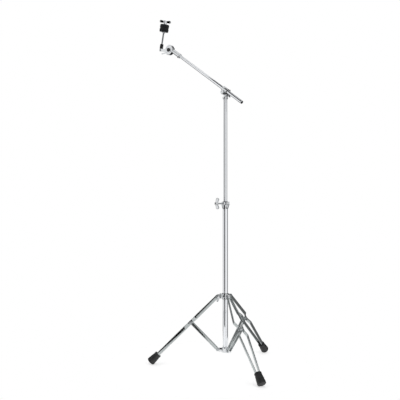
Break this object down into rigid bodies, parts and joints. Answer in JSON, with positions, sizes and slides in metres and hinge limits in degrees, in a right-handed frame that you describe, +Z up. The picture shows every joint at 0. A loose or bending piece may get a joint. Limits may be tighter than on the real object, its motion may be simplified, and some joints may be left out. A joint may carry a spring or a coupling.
{
  "type": "cymbal boom stand",
  "caption": "Double-braced folding tripod stand with a telescoping mast, ratchet boom clamp, boom tube and tilter for a cymbal on felts.",
  "frame": {"origin": "middle of the whole stand's bounding box, on the floor the feet rest on", "axes": "+Z up along the mast; -X towards the single leg that stands opposite the pair"},
  "size_m": [0.5888, 0.6734, 1.7599],
  "materials": {
    "chromed_tube": "bright chrome plate on steel tube",
    "chromed_bar": "chrome plate on rolled flat steel",
    "chromed_casting": "chrome plate on die-cast zinc",
    "zinc_steel": "zinc plated steel",
    "black_steel": "black oxide on a steel bolt",
    "foot_rubber": "moulded black rubber",
    "felt": "pressed black wool felt",
    "black_nylon": "moulded black nylon",
    "white_nylon": "natural nylon tube"
  },
  "bodies": {
    "base": {"base_tube": "chromed_tube", "base_tube_plug": "black_nylon", "lower_collar": "chromed_casting", "lower_collar_pin": "zinc_steel", "lower_hinge_rivets": "zinc_steel", "height_clamp": "chromed_casting", "height_clamp_nut": "chromed_casting"},
    "height_wing_bolt": {"height_wing_bolt": "chromed_casting"},
    "leg_collar": {"upper_collar": "chromed_casting", "upper_collar_bushing": "black_nylon", "upper_hinge_rivets": "zinc_steel"},
    "collar_wing_screw": {"collar_wing_screw": "chromed_casting"},
    "mast_bushing": {"mast_bushing": "black_nylon"},
    "extension": {"extension_tube": "chromed_tube", "extension_guide": "black_nylon", "boom_bracket": "chromed_casting"},
    "boom_holder": {"boom_holder": "chromed_casting", "boom_hinge_bolt": "chromed_casting", "boom_washer": "zinc_steel"},
    "boom_wing_nut": {"boom_wing_nut": "chromed_casting"},
    "boom_bushing": {"boom_bushing": "black_nylon"},
    "boom": {"boom_tube": "chromed_tube", "boom_end_cap": "chromed_casting", "tilter_socket": "chromed_casting", "socket_screw": "zinc_steel"},
    "tilter_arm": {"tilter_arm": "chromed_casting", "tilter_bolt": "black_steel", "tilter_washer": "zinc_steel", "rod_block": "black_nylon", "cymbal_rod": "chromed_tube", "cup_washer": "chromed_casting", "cymbal_sleeve": "white_nylon", "lower_felt": "felt", "upper_felt": "felt"},
    "tilter_wing_nut": {"tilter_wing_nut": "chromed_casting"},
    "cymbal_wing_nut": {"cymbal_wing_nut": "chromed_casting"},
    "leg_1": {"leg_1_bar_a": "chromed_bar", "leg_1_bar_b": "chromed_bar", "leg_1_middle_rivet": "zinc_steel", "leg_1_foot_rivet": "zinc_steel", "foot_1": "foot_rubber"},
    "brace_1": {"brace_1_bar_a": "chromed_bar", "brace_1_bar_b": "chromed_bar", "brace_1_spacer": "zinc_steel"},
    "leg_2": {"leg_2_bar_a": "chromed_bar", "leg_2_bar_b": "chromed_bar", "leg_2_middle_rivet": "zinc_steel", "leg_2_foot_rivet": "zinc_steel", "foot_2": "foot_rubber"},
    "brace_2": {"brace_2_bar_a": "chromed_bar", "brace_2_bar_b": "chromed_bar", "brace_2_spacer": "zinc_steel"},
    "leg_3": {"leg_3_bar_a": "chromed_bar", "leg_3_bar_b": "chromed_bar", "leg_3_middle_rivet": "zinc_steel", "leg_3_foot_rivet": "zinc_steel", "foot_3": "foot_rubber"},
    "brace_3": {"brace_3_bar_a": "chromed_bar", "brace_3_bar_b": "chromed_bar", "brace_3_spacer": "zinc_steel"}
  },
  "joints": [
    {"name": "tripod_fold", "type": "hinge", "parent": "base", "child": "brace_1", "pos_m": [0.0533, 0, 0.08177], "axis": [0, 1, 0], "range_deg": [0, 41]},
    {"name": "leg_1_hinge", "type": "hinge", "parent": "brace_1", "child": "leg_1", "pos_m": [-0.07855, 0, 0.21225], "axis": [0, -1, 0], "range_deg": [0, 82]},
    {"name": "collar_hinge", "type": "hinge", "parent": "leg_1", "child": "leg_collar", "pos_m": [0.0533, 0, 0.34273], "axis": [0, 1, 0], "range_deg": [0, 41]},
    {"name": "leg_2_hinge", "type": "hinge", "parent": "leg_collar", "child": "leg_2", "pos_m": [0.1088, -0.03204, 0.34273], "axis": [0.866, 0.5, 0], "range_deg": [0, 41]},
    {"name": "brace_2_hinge", "type": "hinge", "parent": "base", "child": "brace_2", "pos_m": [0.1088, -0.03204, 0.08177], "axis": [-0.866, -0.5, 0], "range_deg": [0, 41]},
    {"name": "leg_3_hinge", "type": "hinge", "parent": "leg_collar", "child": "leg_3", "pos_m": [0.1088, 0.03204, 0.34273], "axis": [-0.866, 0.5, 0], "range_deg": [0, 41]},
    {"name": "brace_3_hinge", "type": "hinge", "parent": "base", "child": "brace_3", "pos_m": [0.1088, 0.03204, 0.08177], "axis": [0.866, -0.5, 0], "range_deg": [0, 41]},
    {"name": "collar_screw_turn", "type": "hinge", "parent": "leg_collar", "child": "collar_wing_screw", "pos_m": [0.0903, 0, 0.34273], "axis": [-0.5, -0.866, 0], "continuous": true},
    {"name": "height_bolt_turn", "type": "hinge", "parent": "base", "child": "height_wing_bolt", "pos_m": [0.09347, -0.02581, 0.79477], "axis": [-0.9925, -0.1219, 0], "continuous": true},
    {"name": "mast_swivel", "type": "hinge", "parent": "base", "child": "mast_bushing", "pos_m": [0.0903, 0, 0.79877], "axis": [0, 0, 1], "continuous": true},
    {"name": "mast_height", "type": "slide", "parent": "mast_bushing", "child": "extension", "axis": [0, 0, 1], "range_m": [-0.45, 0.06]},
    {"name": "boom_tilt", "type": "hinge", "parent": "extension", "child": "boom_holder", "pos_m": [0.0903, 0, 1.33577], "axis": [0.5446, 0.8387, 0], "range_deg": [-85, 40]},
    {"name": "boom_nut_turn", "type": "hinge", "parent": "boom_holder", "child": "boom_wing_nut", "pos_m": [0.0903, 0, 1.33577], "axis": [0.5446, 0.8387, 0], "continuous": true},
    {"name": "boom_roll", "type": "hinge", "parent": "boom_holder", "child": "boom_bushing", "pos_m": [0.09085, -0.01347, 1.34691], "axis": [-0.687, 0.4461, 0.5736], "continuous": true},
    {"name": "boom_slide", "type": "slide", "parent": "boom_bushing", "child": "boom", "axis": [-0.687, 0.4461, 0.5736], "range_m": [-0.3, 0.09]},
    {"name": "tilter_tilt", "type": "hinge", "parent": "boom", "child": "tilter_arm", "pos_m": [-0.21657, 0.18617, 1.59576], "axis": [0.5446, 0.8387, 0], "range_deg": [-60, 75]},
    {"name": "tilter_nut_turn", "type": "hinge", "parent": "tilter_arm", "child": "tilter_wing_nut", "pos_m": [-0.21657, 0.18617, 1.59576], "axis": [0.5446, 0.8387, 0], "continuous": true},
    {"name": "cymbal_nut_turn", "type": "hinge", "parent": "tilter_arm", "child": "cymbal_wing_nut", "pos_m": [-0.26447, 0.21155, 1.62236], "axis": [0.1744, -0.1132, 0.9781], "continuous": true}
  ],
  "couplings": [
    {"joint": "leg_1_hinge", "follows": "tripod_fold", "ratio": 2},
    {"joint": "collar_hinge", "follows": "tripod_fold", "ratio": 1},
    {"joint": "leg_2_hinge", "follows": "tripod_fold", "ratio": 1},
    {"joint": "brace_2_hinge", "follows": "tripod_fold", "ratio": 1},
    {"joint": "leg_3_hinge", "follows": "tripod_fold", "ratio": 1},
    {"joint": "brace_3_hinge", "follows": "tripod_fold", "ratio": 1}
  ]
}
